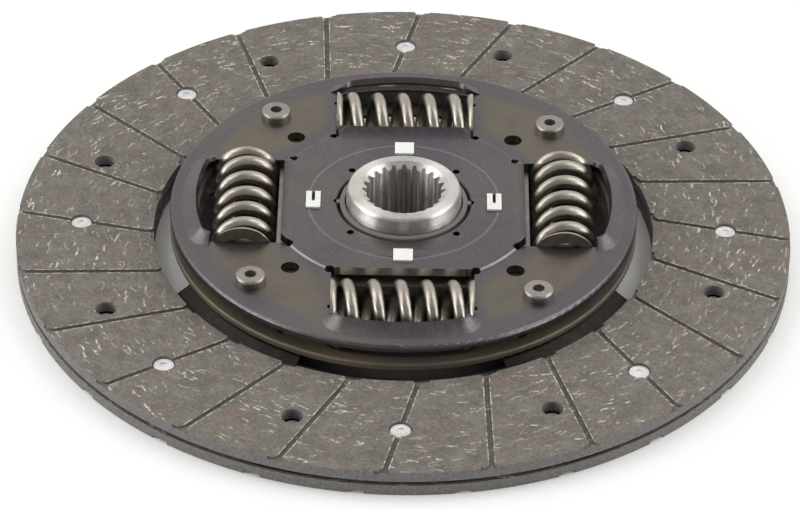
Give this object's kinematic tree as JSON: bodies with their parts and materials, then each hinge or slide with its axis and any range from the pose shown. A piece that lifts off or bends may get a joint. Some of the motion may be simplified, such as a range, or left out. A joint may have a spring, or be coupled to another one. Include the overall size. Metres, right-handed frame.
{
  "type": "clutch disc",
  "caption": "Dry friction clutch disc: grooved friction rings riveted to a cushion sheet, a torsion damper with coil springs between two plates, and a splined hub.",
  "frame": {"origin": "on the hub axis, in the friction face on the flywheel side", "axes": "+Z along the hub axis towards the gearbox side, +X and +Y through the centres of two spring windows"},
  "size_m": [0.24, 0.24, 0.0232],
  "materials": {
    "friction_lining": "matte moulded fibre composite",
    "rivet_metal": "bright",
    "spring_sheet": "rolled spring steel",
    "phosphated_steel": "dark phosphated",
    "oxidised_steel": "brown oxidised edge",
    "pin_steel": "satin",
    "machined_steel": "machined bright",
    "spring_wire": "oiled spring wire",
    "grey_polymer": "filled polyamide",
    "white_polymer": "natural polyamide"
  },
  "bodies": {
    "disc": {"facing_gearbox_side": "friction_lining", "facing_flywheel_side": "friction_lining", "facing_rivets_gearbox": "rivet_metal", "facing_rivets_flywheel": "rivet_metal", "cushion_disc": "spring_sheet", "retainer_plate": "phosphated_steel", "carrier_plate": "oxidised_steel", "arm_rivets": "pin_steel", "gearbox_bush": "grey_polymer", "flywheel_bush": "grey_polymer", "tab_ring": "white_polymer", "friction_ring": "grey_polymer", "support_ring": "spring_sheet", "diaphragm_spring": "spring_sheet", "damper_spring_1": "spring_wire", "damper_spring_2": "spring_wire", "damper_spring_3": "spring_wire", "damper_spring_4": "spring_wire", "stop_pin_1": "pin_steel", "stop_pin_2": "pin_steel", "stop_pin_3": "pin_steel", "stop_pin_4": "pin_steel"},
    "flange": {"hub_flange": "phosphated_steel", "idle_spring_1": "spring_wire", "idle_spring_2": "spring_wire"},
    "hub": {"hub": "machined_steel"}
  },
  "joints": [
    {"name": "flange_turn", "type": "hinge", "parent": "disc", "child": "flange", "pos_m": [0, 0, 0.01245], "axis": [0, 0, 1], "range_deg": [-12, 6], "stiffness_Nm_per_rad": 2, "deforming": ["damper_spring_1", "damper_spring_2", "damper_spring_3", "damper_spring_4"]},
    {"name": "hub_turn", "type": "hinge", "parent": "flange", "child": "hub", "pos_m": [0, 0, 0.01245], "axis": [0, 0, 1], "range_deg": [-4, 4], "stiffness_Nm_per_rad": 0.2, "deforming": ["idle_spring_1", "idle_spring_2"]}
  ]
}
